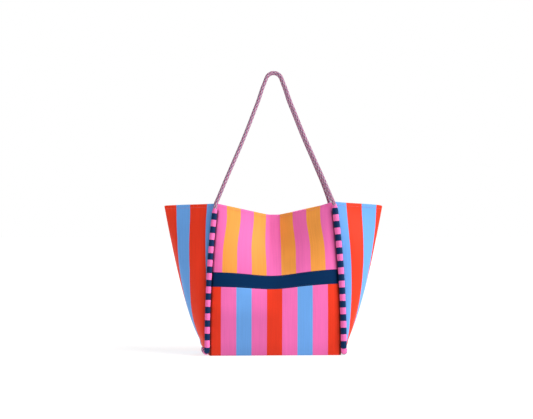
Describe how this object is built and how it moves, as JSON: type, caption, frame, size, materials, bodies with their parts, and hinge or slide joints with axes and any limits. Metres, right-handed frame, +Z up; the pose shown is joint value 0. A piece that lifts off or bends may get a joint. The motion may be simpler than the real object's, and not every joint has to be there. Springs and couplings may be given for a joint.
{
  "type": "beach tote bag",
  "caption": "Open-topped canvas beach bag with a flat base, flared side wings, piped corner seams, a waist band and braided rope handles.",
  "frame": {"origin": "on the floor at the middle of the flat base", "axes": "+Z up; the front faces -Y, with the left of the bag as seen from the front at -X; +X runs across its width"},
  "size_m": [0.524, 0.1784, 0.6745],
  "materials": {
    "upper_canvas": "striped woven canvas, pink and amber",
    "lower_canvas": "striped woven canvas, red, pink and blue",
    "navy_canvas": "plain woven canvas",
    "wing_canvas": "striped woven canvas, blue and red",
    "casing_canvas": "striped ribbed canvas, pink and navy",
    "rope": "soft braided cotton rope, mixed colours",
    "lining": "plain cotton",
    "board": "flexible stiffener sheet",
    "snap_metal": "brushed"
  },
  "bodies": {
    "bag": {"front_upper_panel": "upper_canvas", "front_band": "navy_canvas", "front_lower_panel": "lower_canvas", "back_upper_panel": "upper_canvas", "back_band": "navy_canvas", "back_lower_panel": "lower_canvas", "left_front_wing": "wing_canvas", "left_back_wing": "wing_canvas", "right_front_wing": "wing_canvas", "right_back_wing": "wing_canvas", "base_panel": "lower_canvas", "base_board": "board", "base_lining": "lining", "front_lining": "lining", "back_lining": "lining", "left_front_lining": "lining", "left_back_lining": "lining", "right_front_lining": "lining", "right_back_lining": "lining", "front_facing": "upper_canvas", "back_facing": "upper_canvas", "left_front_facing": "wing_canvas", "left_back_facing": "wing_canvas", "right_front_facing": "wing_canvas", "right_back_facing": "wing_canvas", "left_casing": "casing_canvas", "left_rope_core": "rope", "right_casing": "casing_canvas", "right_rope_core": "rope", "snap_socket": "snap_metal", "snap_stud": "snap_metal", "snap_socket_plate": "snap_metal", "snap_stud_plate": "snap_metal"},
    "front_handle": {"front_handle": "rope"},
    "back_handle": {"back_handle": "rope"}
  },
  "joints": [
    {"name": "front_handle_swing", "type": "hinge", "parent": "bag", "child": "front_handle", "pos_m": [0, -0.072, 0.349], "axis": [1, 0, 0], "range_deg": [0, 178]},
    {"name": "back_handle_swing", "type": "hinge", "parent": "bag", "child": "back_handle", "pos_m": [0, 0.072, 0.349], "axis": [-1, 0, 0], "range_deg": [0, 178]}
  ]
}
